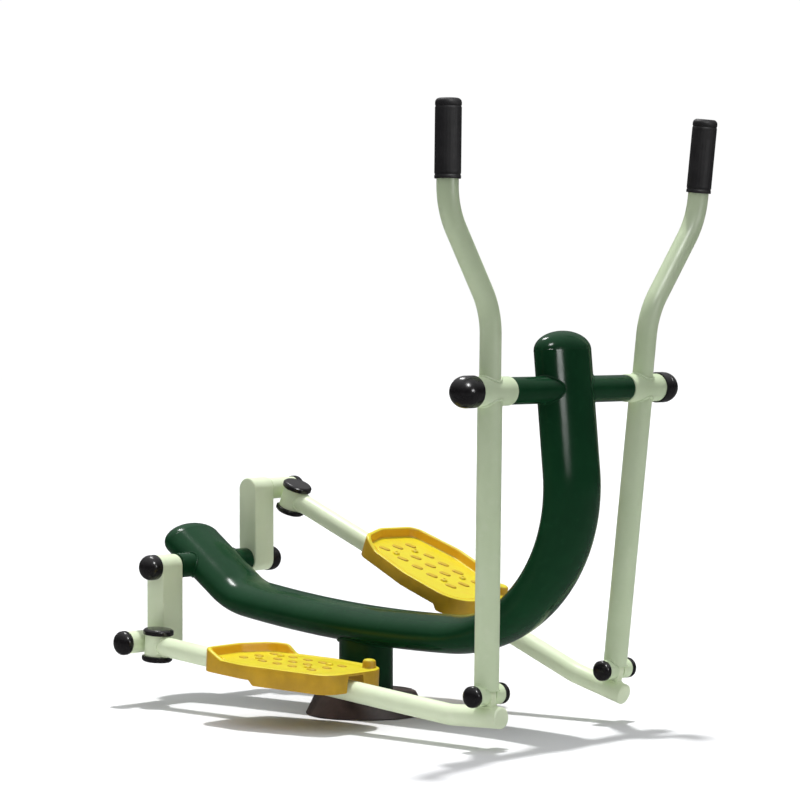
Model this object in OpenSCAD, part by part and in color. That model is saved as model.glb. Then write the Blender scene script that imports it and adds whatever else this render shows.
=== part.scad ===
// Outdoor cross trainer. Millimetres, Z up, X forward towards the handles,
// Y to the user's left, origin on the ground under the middle of the post.

/* [Main member] */
// Width of the oval tube, across the machine
oval_w = 154; // [130:1:165]
// Thickness of the oval tube, in the plane it is bent in
oval_t = 80; // [70:1:90]
// Wall of the oval tube
oval_wall = 4; // [3:0.5:6]
// Height of the column's top, without its cap
column_top_z = 770; // [755:1:790]
// Lean of the column, in degrees back from upright
column_lean = 5.5; // [4:0.1:7]
// Straight length of the column
column_len = 243; // [235:1:250]
// Centre-line radius of the big bend
bend_r = 314; // [308:1:318]
// Centre-line radius of the small rear bend
rear_bend_r = 160; // [120:5:200]
// Straight length of the rear end
rear_len = 166; // [150:1:180]

/* [Base] */
// Outer diameter of the ground post
post_d = 114.3; // [101.6:0.1:121]
// Diameter of the base flange
flange_d = 220; // [210:1:224]
// Thickness of the base flange
flange_t = 12; // [8:1:14]
// Pitch circle of the anchor holes
anchor_pcd = 170; // [166:1:178]
// Diameter of each anchor hole
anchor_d = 18; // [14:1:20]
// Outer diameter of the base cover at the ground
cover_d = 256; // [250:1:262]
// Height of the base cover
cover_h = 47; // [44:1:54]

/* [Front axle and handle arms] */
// Distance of the front axle ahead of the post
front_x = 546; // [540:1:552]
// Height of the front axle
front_z = 692; // [686:1:698]
// Distance of each handle arm from the middle plane
arm_y = 240; // [236:1:244]
// Length from the front axle to the lower pivot
arm_len = 587; // [583:1:590]
// Outer diameter of the lower arm tube
arm_d = 48.3; // [44:0.1:50]
// Outer diameter of the upper handle tube
handle_d = 42.4; // [38:0.1:44]
// Outward offset of the hand grips
flare = 131; // [110:1:140]
// Height of the grip's top above the front axle
grip_top = 556; // [530:1:570]
// Length of the grip
grip_len = 152; // [120:1:156]
// Outer diameter of the grip
grip_d = 51; // [47:1:54]

/* [Cranks and universal joints] */
// Distance of the rear axle behind the post
rear_x = 467; // [463:1:470]
// Height of the rear axle
rear_z = 293; // [290:1:296]
// Length of each crank, axle to pin
crank_r = 158; // [154:1:160]
// Width of the crank
crank_w = 52; // [50:1:54]
// Distance of each pedal bar's swivel from the middle plane
swivel_y = 213; // [212:1:215]

/* [Pedal bars and pedals] */
// Outer diameter of the pedal bar
bar_d = 42.4; // [38:0.1:42.4]
// Length of the straight bar, crank pin to bend
bar_len = 914.5; // [912:0.5:916]
// Distance along the bar from the crank pin to the pedal's heel
pedal_at = 310; // [300:1:316]
// Toe-up angle of the pedal on its bar
pedal_tilt = 2; // [1.5:0.1:3]
// Height of the pedal's raised rim
rim_h = 20; // [12:1:22]

/* [Hidden] */
$fn = 64;

green = [0.07, 0.27, 0.17];
cream = [0.78, 0.84, 0.64];
black = [0.12, 0.12, 0.12];
steel = [0.62, 0.63, 0.65];
bronze = [0.70, 0.52, 0.28];
yellow = [0.95, 0.85, 0.12];
brown = [0.24, 0.18, 0.15];

// ---- linkage at rest -------------------------------------------------------
// the right crank (side -1) points down, the left crank (side 1) points up
elbow = 7;          // upward bend at the front of the pedal bar
stub = 95;          // from the bend to below the lower pivot
pivot_up = 42.5;    // lower pivot above the axis of the bar's front end
swivel_x = 52.5;    // swivel pin ahead of the crank pin
swivel_r = 28;      // swivel sleeve
swivel_h = 46;
knuckle_r = 24;     // sleeve on the crank pin
// lower pivot in the bar's own frame: x along the bar from the crank pin, z up
piv_bar = [bar_len + stub * cos(elbow) - pivot_up * sin(elbow), stub * sin(elbow) + pivot_up * cos(elbow)];
link_len = norm(piv_bar);
bar_lift = atan2(piv_bar[1], piv_bar[0]);
front_axle = [front_x, front_z];
rear_axle = [-rear_x, rear_z];
function pin_at(s) = rear_axle + [0, s * crank_r];
function pivot_at(s) = let(p = pin_at(s), d = norm(p - front_axle), u = (p - front_axle) / d,
    a = (arm_len * arm_len - link_len * link_len + d * d) / (2 * d),
    h = sqrt(arm_len * arm_len - a * a)) front_axle + a * u + h * [-u[1], u[0]];
function arm_angle(s) = let(p = pivot_at(s)) atan2(front_x - p[0], front_z - p[1]);
function bar_angle(s) = let(p = pivot_at(s), q = pin_at(s)) atan2(q[1] - p[1], p[0] - q[0]) + bar_lift;

module on_side(s) { if (s < 0) mirror([0, 1, 0]) children(); else children(); }
// frame of a handle arm: origin on the front axle, z up the arm, y outwards
module arm_frame(s) { translate([front_x, 0, front_z]) rotate([0, arm_angle(s), 0]) on_side(s) children(); }
// frame of a pedal bar and its universal joint: origin on the crank pin, x along the bar, y outwards
module bar_frame(s) { translate([pin_at(s)[0], 0, pin_at(s)[1]]) rotate([0, bar_angle(s), 0]) on_side(s) children(); }
// frame of a crank: origin on the rear axle, z from the axle to the pin, y outwards
module crank_frame(s) { translate([-rear_x, 0, rear_z]) rotate([0, s < 0 ? 180 : 0, 0]) on_side(s) children(); }

// cylinder along Y, from y0 to y1
module ycyl(r, y0, y1, fn = 64) { translate([0, y0, 0]) rotate([-90, 0, 0]) cylinder(r = r, h = y1 - y0, $fn = fn); }
module yring(ro, ri, y0, y1) { difference() { ycyl(ro, y0, y1); ycyl(ri, y0 - 1, y1 + 1); } }
// hexagon nut along Y
module ynut(af, ri, y0, y1) { difference() { ycyl(af / sqrt(3), y0, y1, 6); ycyl(ri, y0 - 1, y1 + 1); } }
// hollow dome cap along Y: skirt outside radius r, dome of height h, from y0 outwards
module ydome(r, skirt, h, ri, depth) {
  rotate([-90, 0, 0]) difference() {
    rotate_extrude($fn = 64) polygon(concat([[0, 0], [r, 0], [r, skirt]],
      [for (a = [10:10:90]) [r * cos(a), skirt + (h - skirt) * sin(a)]]));
    translate([0, 0, -1]) cylinder(r = ri, h = depth + 1);
  }
}

// ---- main member -----------------------------------------------------------
// the oval tube's centre line, from the column top down, forward, back and up
dir0 = -90 + column_lean;               // heading down the column
p0 = [front_x - 14, column_top_z];
p1 = p0 + column_len * [cos(dir0), sin(dir0)];
turn1 = 94.3;                           // big bend
c1 = p1 + bend_r * [cos(dir0 - 90), sin(dir0 - 90)];
dir1 = dir0 - turn1;
p2 = c1 - bend_r * [cos(dir1 - 90), sin(dir1 - 90)];
low_r = 3465;                           // the low run is a very slow bend
turn2 = 9.5;
c2 = p2 + low_r * [cos(dir1 - 90), sin(dir1 - 90)];
dir2 = dir1 - turn2;
p3 = c2 - low_r * [cos(dir2 - 90), sin(dir2 - 90)];
turn3 = 26;
c3 = p3 + rear_bend_r * [cos(dir2 - 90), sin(dir2 - 90)];
dir3 = dir2 - turn3;
p4 = c3 - rear_bend_r * [cos(dir3 - 90), sin(dir3 - 90)];
p5 = p4 + rear_len * [cos(dir3), sin(dir3)];

// the low run's centre line over the post
low_turn = asin(c2[0] / low_r);
low_dir = 180 - low_turn;
low_mid_z = c2[1] - low_r * cos(low_turn);

function oval(inset) = [for (i = [0:39]) let(a = i * 9) [(oval_t / 2 - inset) * cos(a), (oval_w / 2 - inset) * sin(a)]];
// straight oval run from a point along a heading in the XZ plane
module oval_straight(p, dir, len, inset) {
  translate([p[0], 0, p[1]]) rotate([0, 90 - dir, 0]) linear_extrude(len) polygon(oval(inset));
}
// oval run bent clockwise about a centre, from one heading to the next
module oval_bend(c, r, dir_a, turn, inset) {
  // angle of the start point seen from the centre
  translate([c[0], 0, c[1]]) rotate([90, 0, 0]) rotate([0, 0, dir_a + 90 - turn])
    rotate_extrude(angle = turn, $fn = 180) translate([r, 0]) polygon(oval(inset));
}
// neighbouring lengths lap by 1 mm, one a hair inside the other
lap = 1;
low_lap = lap / low_r * 180 / PI;
module oval_run(inset, ends) {
  oval_straight(p0 - ends * [cos(dir0), sin(dir0)], dir0, column_len + ends + lap, inset + 0.02);
  oval_bend(c1, bend_r, dir0, turn1, inset);
  oval_bend(c2, low_r, dir1 + low_lap, turn2 + 2 * low_lap, inset + 0.02);
  oval_bend(c3, rear_bend_r, dir2, turn3, inset);
  oval_straight(p4 - lap * [cos(dir3), sin(dir3)], dir3, rear_len + ends + lap, inset + 0.02);
}
module main_frame() color(green) difference() {
  oval_run(0, 0);
  oval_run(oval_wall, 1);
  translate([front_x, 0, front_z]) ycyl(27, -100, 100);
  translate([-rear_x, 0, rear_z]) ycyl(27, -100, 100);
}
// domed end of the oval tube, welded on: half an ellipsoid
module oval_dome() {
  difference() {
    scale([oval_t / 2, oval_w / 2, 39]) sphere(r = 1, $fn = 48);
    scale([oval_t / 2 - 4, oval_w / 2 - 4, 35]) sphere(r = 1, $fn = 48);
    translate([0, 0, -50]) cube([200, 200, 100], center = true);
  }
}
module column_cap() color(green) translate([p0[0], 0, p0[1]]) rotate([0, 90 - (dir0 + 180), 0]) oval_dome();
module rear_cap() color(green) translate([p5[0], 0, p5[1]]) rotate([0, 90 - dir3, 0]) oval_dome();

// ---- post and base ---------------------------------------------------------
module ground_post() color(green) difference() {
  translate([0, 0, flange_t]) cylinder(d = post_d, h = 165);
  translate([0, 0, flange_t - 1]) cylinder(d = post_d - 8, h = 175);
  // coped to the underside of the main member
  oval_straight([0, low_mid_z] - 90 * [cos(low_dir), sin(low_dir)], low_dir, 180, -0.05);
  translate([-100, -100, low_mid_z]) cube([200, 200, 100]);
}
module base_flange() color(green) {
  difference() {
    cylinder(d = flange_d, h = flange_t, $fn = 96);
    for (a = [45:90:315]) rotate([0, 0, a]) translate([anchor_pcd / 2, 0, -1]) cylinder(d = anchor_d, h = flange_t + 2);
  }
  // four stiffening ribs between the post and the flange
  for (a = [0:90:270]) rotate([0, 0, a]) translate([post_d / 2, 3, flange_t]) rotate([90, 0, 0])
    linear_extrude(6) polygon([[0, 0], [34, 0], [34, 3], [8, 17], [0, 17]]);
}
module base_cover() {
  difference() {
    union() {
      translate([0, 0, 0.5]) cylinder(d1 = cover_d, d2 = cover_d - 46, h = cover_h - 0.5, $fn = 96);
    }
    translate([0, 0, -0.01]) cylinder(d1 = cover_d - 8, d2 = cover_d - 52, h = cover_h - 3, $fn = 96);
    cylinder(d = post_d + 1, h = 60);
  }
}
module base_cover_right() color(brown) intersection() { base_cover(); translate([0, -200.2, 0]) cube([400, 400, 200], center = true); }
module base_cover_left() color(brown) intersection() { base_cover(); translate([0, 200.2, 0]) cube([400, 400, 200], center = true); }

// ---- cross tubes, shafts and bearings ---------------------------------------
module front_axle_tube() color(green) translate([front_x, 0, front_z]) difference() {
  ycyl(27, -185, 185);
  ycyl(23, -165, 165);
  ycyl(15, -190, 190);
}
module front_axle_shaft() color(steel) translate([front_x, 0, front_z]) { ycyl(15, -295, 295); ycyl(12, -312, 312); }
module front_axle_nuts() color(steel) for (s = [-1, 1]) on_side(s) translate([front_x, 0, front_z]) {
  yring(21, 12, 295, 297.5);
  ynut(36, 12, 297.5, 309);
}
module rear_axle_tube() color(green) translate([-rear_x, 0, rear_z]) difference() {
  ycyl(27, -108, 108);
  ycyl(21, -80, 80);
  for (s = [-1, 1]) on_side(s) ycyl(23.5, 88, 110);
  // clear of the turning axle
  ycyl(17, -100, 100);
}
module crank_bearings() color(steel) translate([-rear_x, 0, rear_z]) for (s = [-1, 1]) on_side(s) yring(23.5, 15.05, 89, 107);

// ---- crankset ----------------------------------------------------------------
module crank_axle() color(steel) translate([-rear_x, 0, rear_z]) { ycyl(15, -171, 171); ycyl(10, -186, 186); }
module crank_axle_nuts() color(steel) for (s = [-1, 1]) on_side(s) translate([-rear_x, 0, rear_z]) { yring(19, 10, 172, 174); ynut(30, 10, 174, 184); }
module crank(s) crank_frame(s) difference() {
  union() {
    ycyl(crank_w / 2, 112, 172);
    translate([0, 0, crank_r]) ycyl(crank_w / 2, 112, 172);
    translate([-crank_w / 2, 112, 0]) cube([crank_w, 60, crank_r]);
  }
  translate([-18, 119, 30]) cube([36, 46, crank_r - 60]);
  ycyl(15, 100, 171);
  ycyl(10, 100, 180);
  translate([0, 0, crank_r]) ycyl(12, 116, 180);
}
module crank_cap(s) crank_frame(s) translate([0, 172, 0]) ydome(27.5, 13, 36, 22, 16);
module crank_pin(s) crank_frame(s) translate([0, 0, crank_r]) { ycyl(12, 116, 268); }
module right_crank() color(cream) crank(-1);
module left_crank() color(cream) crank(1);
module right_crank_cap() color(black) crank_cap(-1);
module left_crank_cap() color(black) crank_cap(1);
module right_crank_pin() color(steel) crank_pin(-1);
module left_crank_pin() color(steel) crank_pin(1);
// the nut turns with the crank pin, inside the joint's cap
module crank_pin_nut(s) crank_frame(s) translate([0, 0, crank_r]) { yring(18, 12, 258.4, 260.4); ynut(28, 12, 260.4, 268); }
module right_crank_pin_nut() color(steel) crank_pin_nut(-1);
module left_crank_pin_nut() color(steel) crank_pin_nut(1);

// ---- universal joints ----------------------------------------------------------
module ujoint(s) bar_frame(s) {
  difference() {
    union() {
      ycyl(knuckle_r, 174, 258);
      translate([12, swivel_y - 7, -8]) cube([swivel_x - 12, 14, 16]);
    }
    ycyl(15.5, 170, 262);
    translate([swivel_x, swivel_y, -20]) cylinder(r = 9, h = 40);
  }
  translate([swivel_x, swivel_y, -12]) cylinder(r = 9, h = 24);
}
module ujoint_bush(s) bar_frame(s) yring(15.5, 12.05, 174.5, 257.5);
module ujoint_cap(s) bar_frame(s) translate([0, 258, 0]) ydome(26, 9, 24, 20, 13);
module right_ujoint() color(cream) ujoint(-1);
module left_ujoint() color(cream) ujoint(1);
module right_ujoint_bush() color(bronze) ujoint_bush(-1);
module left_ujoint_bush() color(bronze) ujoint_bush(1);
module right_ujoint_cap() color(black) ujoint_cap(-1);
module left_ujoint_cap() color(black) ujoint_cap(1);

// ---- pedal bars ------------------------------------------------------------------
// the bar runs straight out to the arm's foot, so it is turned a little about the swivel
bar_yaw = atan2(arm_y - swivel_y, piv_bar[0] - swivel_x);
elbow_r = 150;
elbow_cut = elbow_r * tan(elbow / 2);
bar_run = (bar_len - swivel_x) / cos(bar_yaw) - elbow_cut;
stub_run = stub + 34 - elbow_cut;
module bar_yawed() { translate([swivel_x, swivel_y, 0]) rotate([0, 0, bar_yaw]) children(); }
// the round bar: straight, elbow, front stub; from x0 on, with over added to the front
module bar_line(r, x0, over) {
  bar_yawed() {
    translate([x0, 0, 0]) rotate([0, 90, 0]) cylinder(r = r - 0.02, h = bar_run + lap - x0);
    translate([bar_run, 0, elbow_r]) rotate([90, 0, 0]) rotate([0, 0, -90]) rotate_extrude(angle = elbow, $fn = 360) translate([elbow_r, 0]) circle(r = r);
    translate([bar_run, 0, elbow_r]) rotate([0, -elbow, 0]) translate([-lap, 0, -elbow_r]) rotate([0, 90, 0]) cylinder(r = r - 0.02, h = stub_run + over + lap);
  }
}
// the room the knuckle on the crank pin needs beside the swivel sleeve
module knuckle_room() {
  for (z = [-11.8, 7.8]) translate([0, 0, z]) ycyl(knuckle_r + 4.5, 170, 262);
  translate([-30, 170, -11.8]) cube([30 + knuckle_r + 4.5, 92, 19.6]);
}
module bar(s) bar_frame(s) difference() {
  union() {
    bar_line(bar_d / 2, 0, 0);
    translate([swivel_x, swivel_y, -swivel_h / 2]) cylinder(r = swivel_r, h = swivel_h);
    // lug up to the lower pivot
    translate([piv_bar[0], 0, piv_bar[1]]) rotate([0, -elbow, 0]) {
      ycyl(19, arm_y - 8, arm_y + 8);
      translate([-19, arm_y - 8, -pivot_up + 6]) cube([38, 16, pivot_up - 6]);
    }
  }
  bar_line(bar_d / 2 - 3, swivel_r + 3, 2);
  // pivot bore
  translate([piv_bar[0], 0, piv_bar[1]]) ycyl(10.05, arm_y - 20, arm_y + 20);
  // swivel bore and the slot that lets the joint's neck in
  translate([swivel_x, swivel_y, -40]) cylinder(r = 15, h = 80);
  translate([0, swivel_y - 8.5, -21]) cube([swivel_x, 17, 38]);
  knuckle_room();
}
// closes the bar's front end
module bar_plug(s) bar_frame(s) bar_yawed() translate([bar_run, 0, elbow_r]) rotate([0, -elbow, 0]) translate([stub_run, 0, -elbow_r]) rotate([0, 90, 0])
  rotate_extrude() polygon([[0, -10], [17.5, -10], [17.5, 0], [21.2, 0], [21.2, 2], [19.5, 3.5], [0, 4]]);
module right_bar_plug() color(cream) bar_plug(-1);
module left_bar_plug() color(cream) bar_plug(1);
module swivel_caps(s) bar_frame(s) difference() {
  translate([swivel_x, swivel_y, 0]) for (m = [0, 1]) mirror([0, 0, m]) translate([0, 0, swivel_h / 2]) difference() {
    rotate_extrude() polygon([[0, 0], [33, 0], [33, 8], [31, 11], [20, 13], [0, 13.5]]);
    translate([0, 0, -1]) cylinder(r = 15, h = 6);
  }
  knuckle_room();
}
module right_bar() color(cream) bar(-1);
module left_bar() color(cream) bar(1);
module right_swivel_caps() color(black) swivel_caps(-1);
module left_swivel_caps() color(black) swivel_caps(1);

// ---- pedals ------------------------------------------------------------------------
// frame of a pedal: origin on the plate's underside at the heel, x to the toe, y outwards, z up
module pedal_frame(s) {
  bar_frame(s) bar_yawed()
    translate([pedal_at - swivel_x, 0, bar_d / 2 + 0.6]) rotate([0, -pedal_tilt, 0]) children();
}
// corner circles of the tray: x, y, radius
sole = [[38, 84, 34], [48, 10, 50], [52, -40, 38], [135, 38, 88], [190, -20, 86], [278, -44, 62], [304, 52, 40]];
function sole_reach(i, a) = sole[i][0] * cos(a) + sole[i][1] * sin(a) + sole[i][2];
function sole_pick(a) = let(r = [for (i = [0:len(sole) - 1]) sole_reach(i, a)], m = max(r)) [for (i = [0:len(sole) - 1]) if (r[i] >= m) i][0];
// outline of the tray, moved inwards by o
function sole_outline(o) = [for (a = [0:6:354]) let(i = sole_pick(a)) [sole[i][0], sole[i][1]] + (sole[i][2] - o) * [cos(a), sin(a)]];
plate_t = 4.5;
skirt_rear = 24;
skirt_front = 35;
bolt_x = [90, 234];
bolt_y = 31.5;
// side is where the rim runs along: 1 outwards, -1 inwards; rim_end and step_at lie along the pedal
module pedal(s, side, rim_end, step_at) pedal_frame(s) {
  difference() {
    union() {
      translate([0, 0, -skirt_rear]) linear_extrude(skirt_rear + plate_t) polygon(sole_outline(0));
      intersection() {
        translate([0, 0, -skirt_front]) linear_extrude(skirt_front) polygon(sole_outline(0));
        translate([step_at, -200, -skirt_front]) rotate([0, -35, 0]) translate([0, 0, -40]) cube([400, 400, 120]);
        translate([step_at - 20, -200, -skirt_front]) cube([400, 400, skirt_front]);
      }
    }
    translate([0, 0, -skirt_front - 1]) linear_extrude(skirt_front + 1) polygon(sole_outline(4));
    // notches for the bar at the heel and the toe
    translate([-5, -24, -skirt_front - 1]) cube([40, 48, skirt_front + 1]);
    translate([310, -24, -skirt_front - 1]) cube([60, 48, skirt_front + 1]);
    for (x = bolt_x) for (y = [-1, 1]) translate([x, y * bolt_y, -1]) cylinder(r = 4.3, h = 12, $fn = 32);
  }
  // stiffening ribs under the plate, clear of the bar and its brackets
  for (y = [-58, 54]) translate([44, y, -18]) cube([225, 4, 18.01]);
  for (r = [[118, -92, -24], [205, -103, -24], [118, 24, 120], [205, 24, 110]])
    translate([r[0], r[1], -14]) cube([4, r[2] - r[1], 14.01]);
  // raised rim: across the heel and along one side, ending in a slope
  difference() {
    translate([0, 0, plate_t - 0.01]) linear_extrude(rim_h + 0.01) polygon(sole_outline(0));
    translate([0, 0, plate_t - 1]) linear_extrude(rim_h + 2) polygon(sole_outline(5.5));
    // off the far end and the open side
    translate([rim_end, -200, plate_t - 1]) cube([400, 400, rim_h + 2]);
    translate([44, side > 0 ? -200 : 0, plate_t - 1]) cube([400, 200, rim_h + 2]);
    translate([rim_end, 0, plate_t + 3]) rotate([0, 30, 0]) translate([0, -200, 0]) cube([100, 400, 60]);
  }
  // toe lug at the front corner of the same side
  translate([side > 0 ? 318 : 308, side > 0 ? 66 : -72, plate_t - 0.01]) {
    cylinder(r = 14, h = 14, $fn = 40);
    translate([0, 0, 14]) cylinder(r1 = 14, r2 = 9, h = 5, $fn = 40);
  }
  // anti-slip marks
  for (i = [0:4]) for (j = [-1:1]) translate([66 + 48 * i, 4 + 44 * j, plate_t - 0.01]) rotate([0, 0, 20])
    translate([-11, -4, 0]) cube([22, 8, 1.2]);
}
module pedal_bracket(s) pedal_frame(s) difference() {
  for (x = bolt_x) {
    translate([x - 20, -42, -5]) cube([40, 84, 4.9]);
    // webs down to the bar
    for (y = [-24, 19]) translate([x - 20, y, -30]) cube([40, 5, 26]);
  }
  for (x = bolt_x) for (y = [-1, 1]) translate([x, y * bolt_y, -20]) cylinder(r = 4.05, h = 30, $fn = 32);
  bar_hole();
}
// the round bar as seen in the pedal's frame
module bar_hole() {
  rotate([0, pedal_tilt, 0]) translate([-200, 0, -bar_d / 2 - 0.6]) rotate([0, 90, 0]) cylinder(d = bar_d, h = 800);
}
module pedal_bolts(s) pedal_frame(s) for (x = bolt_x) for (y = [-1, 1]) translate([x, y * bolt_y, 0]) {
  translate([0, 0, plate_t]) difference() {
    rotate_extrude($fn = 32) polygon([[0, 0], [8, 0], [8, 1.6], [6.4, 3.6], [3, 4.6], [0, 4.8]]);
    translate([0, 0, 2.2]) cylinder(r = 2.6, h = 5, $fn = 6);
  }
  translate([0, 0, -14]) cylinder(r = 4, h = 14 + plate_t, $fn = 32);
  translate([0, 0, -11.8]) difference() { cylinder(r = 7.5, h = 6.5, $fn = 6); translate([0, 0, -1]) cylinder(r = 4, h = 9, $fn = 32); }
}
module right_pedal_bracket() color(cream) pedal_bracket(-1);
module left_pedal_bracket() color(cream) pedal_bracket(1);
module right_pedal() color(yellow) pedal(-1, -1, 84, 158);
module left_pedal() color(yellow) pedal(1, 1, 250, 280);
module right_pedal_bolts() color(steel) pedal_bolts(-1);
module left_pedal_bolts() color(steel) pedal_bolts(1);

// ---- handle arms -------------------------------------------------------------------
module arm(s) arm_frame(s) difference() {
  union() {
    ycyl(28.5, 186, 294);
    translate([0, arm_y, -arm_len + 9]) cylinder(d = arm_d, h = arm_len - 9);
    translate([0, 0, -arm_len]) { ycyl(20.5, arm_y - 36, arm_y - 8.6); ycyl(20.5, arm_y + 8.6, arm_y + 36); }
  }
  difference() {
    translate([0, arm_y, -arm_len]) cylinder(d = arm_d - 7, h = arm_len);
    // the cross sleeves keep their metal inside the tube
    translate([0, 0, -arm_len]) { ycyl(20.5, arm_y - 36, arm_y - 8.6); ycyl(20.5, arm_y + 8.6, arm_y + 36); }
  }
  ycyl(24, 180, 300);
  translate([0, 0, -arm_len]) ycyl(10, arm_y - 40, arm_y + 40);
}
s_bend_r = 150;
s_turn = 34;
s_run = (flare - 2 * s_bend_r * (1 - cos(s_turn))) / sin(s_turn);
s_start = 108;
s_end = s_start + 2 * s_bend_r * sin(s_turn) + s_run * cos(s_turn);
// the upper tube's path lies in the arm's own YZ plane, bending outwards and back
module handle_run(d, over) {
  translate([0, arm_y, 0]) cylinder(d = d - 0.04, h = s_start + lap);
  translate([0, arm_y + s_bend_r, s_start]) rotate([90, 0, -90])
    rotate_extrude(angle = s_turn, $fn = 180) translate([s_bend_r, 0]) circle(d = d);
  translate([0, arm_y + s_bend_r * (1 - cos(s_turn)), s_start + s_bend_r * sin(s_turn)]) rotate([-s_turn, 0, 0])
    translate([0, 0, -lap]) cylinder(d = d - 0.04, h = s_run + 2 * lap);
  translate([0, arm_y + flare - s_bend_r, s_end]) rotate([90, 0, 90]) rotate([0, 0, -s_turn])
    rotate_extrude(angle = s_turn, $fn = 180) translate([s_bend_r, 0]) circle(d = d);
  translate([0, arm_y + flare, s_end - lap]) cylinder(d = d - 0.04, h = grip_top - s_end - 6 + lap + over);
}
module handle(s) arm_frame(s) difference() {
  handle_run(handle_d, 0);
  handle_run(handle_d - 5, 10);
  ycyl(28.5, 180, 300);
}
module grip(s) arm_frame(s) translate([0, arm_y + flare, grip_top - grip_len]) difference() {
  rotate_extrude() polygon([[0, 0], [grip_d / 2 - 1.5, 0], [grip_d / 2, 2], [grip_d / 2, grip_len - 7],
    [grip_d / 2 - 2, grip_len - 2.5], [grip_d / 2 - 7, grip_len], [0, grip_len]]);
  translate([0, 0, -1]) cylinder(d = handle_d, h = grip_len - 5);
}
module arm_bearings(s) arm_frame(s) { yring(24, 15.05, 187, 207); yring(24, 15.05, 273, 293); }
module arm_cap(s) arm_frame(s) difference() {
  translate([0, 289, 0]) ydome(31.5, 20, 54, 26, 26);
  ycyl(28.5, 280, 294);
}
module lower_pin(s) arm_frame(s) translate([0, 0, -arm_len]) ycyl(10, arm_y - 45, arm_y + 45);
module lower_nuts(s) arm_frame(s) translate([0, 0, -arm_len]) {
  ynut(24, 10, arm_y + 36, arm_y + 43);
  ynut(24, 10, arm_y - 43, arm_y - 36);
}
module lower_caps(s) arm_frame(s) translate([0, arm_y, -arm_len]) for (m = [0, 1]) mirror([0, m, 0])
  translate([0, 36, 0]) ydome(21, 8, 18.5, 16, 11.5);
module right_arm() color(cream) arm(-1);
module left_arm() color(cream) arm(1);
module right_handle() color(cream) handle(-1);
module left_handle() color(cream) handle(1);
module right_grip() color(black) grip(-1);
module left_grip() color(black) grip(1);
module right_arm_bearings() color(steel) arm_bearings(-1);
module left_arm_bearings() color(steel) arm_bearings(1);
module right_arm_cap() color(black) arm_cap(-1);
module left_arm_cap() color(black) arm_cap(1);
module right_lower_pin() color(steel) lower_pin(-1);
module left_lower_pin() color(steel) lower_pin(1);
module right_lower_nuts() color(steel) lower_nuts(-1);
module left_lower_nuts() color(steel) lower_nuts(1);
module right_lower_caps() color(black) lower_caps(-1);
module left_lower_caps() color(black) lower_caps(1);

main_frame();
column_cap();
rear_cap();
ground_post();
base_flange();
base_cover_right();
base_cover_left();
front_axle_tube();
front_axle_shaft();
front_axle_nuts();
rear_axle_tube();
crank_bearings();
crank_axle();
crank_axle_nuts();
right_crank();
left_crank();
right_crank_cap();
left_crank_cap();
right_crank_pin();
left_crank_pin();
right_ujoint();
right_ujoint_bush();
right_ujoint_cap();
right_crank_pin_nut();
left_ujoint();
left_ujoint_bush();
left_ujoint_cap();
left_crank_pin_nut();
right_bar();
right_bar_plug();
right_swivel_caps();
right_pedal_bracket();
right_pedal();
right_pedal_bolts();
left_bar();
left_bar_plug();
left_swivel_caps();
left_pedal_bracket();
left_pedal();
left_pedal_bolts();
right_arm();
right_handle();
right_grip();
right_arm_bearings();
right_arm_cap();
right_lower_pin();
right_lower_nuts();
right_lower_caps();
left_arm();
left_handle();
left_grip();
left_arm_bearings();
left_arm_cap();
left_lower_pin();
left_lower_nuts();
left_lower_caps();
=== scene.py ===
import math

import bmesh
import bpy
import numpy as np
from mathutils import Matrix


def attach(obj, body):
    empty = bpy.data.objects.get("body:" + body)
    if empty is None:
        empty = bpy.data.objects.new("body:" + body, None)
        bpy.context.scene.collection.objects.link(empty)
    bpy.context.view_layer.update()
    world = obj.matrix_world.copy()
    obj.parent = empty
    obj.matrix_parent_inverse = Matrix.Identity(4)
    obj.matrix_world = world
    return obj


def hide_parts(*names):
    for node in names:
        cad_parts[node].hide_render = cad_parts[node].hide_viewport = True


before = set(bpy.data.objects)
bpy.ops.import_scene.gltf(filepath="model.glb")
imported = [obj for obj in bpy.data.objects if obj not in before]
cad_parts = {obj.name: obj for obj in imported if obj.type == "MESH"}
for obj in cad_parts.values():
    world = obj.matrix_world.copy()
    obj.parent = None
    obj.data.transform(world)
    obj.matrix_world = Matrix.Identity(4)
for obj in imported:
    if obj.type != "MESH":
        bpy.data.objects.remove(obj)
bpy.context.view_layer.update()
MM = 0.001

# ---------------------------------------------------------------------------
# sizes, in millimetres, as in the CAD source
# ---------------------------------------------------------------------------
OVAL_W, OVAL_T = 154.0, 80.0
FRONT = np.array([546.0, 692.0])
REAR = np.array([-467.0, 293.0])
ARM_Y, ARM_LEN, ARM_R, HANDLE_R = 240.0, 587.0, 24.15, 21.2
FLARE, GRIP_TOP, GRIP_LEN, GRIP_R = 131.0, 556.0, 152.0, 25.5
CRANK_R, CRANK_W = 158.0, 52.0
SWIVEL_X, SWIVEL_Y, SWIVEL_R, SWIVEL_H = 52.5, 213.0, 28.0, 46.0
BAR_R, BAR_LEN, ELBOW, STUB, PIVOT_UP, ELBOW_R = 21.2, 914.5, 7.0, 95.0, 42.5, 150.0
KNUCKLE_R = 24.0
PEDAL_AT, PEDAL_TILT, PLATE, RIM_H = 310.0, 2.0, 4.5, 20.0


def cosd(a):
    return math.cos(math.radians(a))


def sind(a):
    return math.sin(math.radians(a))


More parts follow.
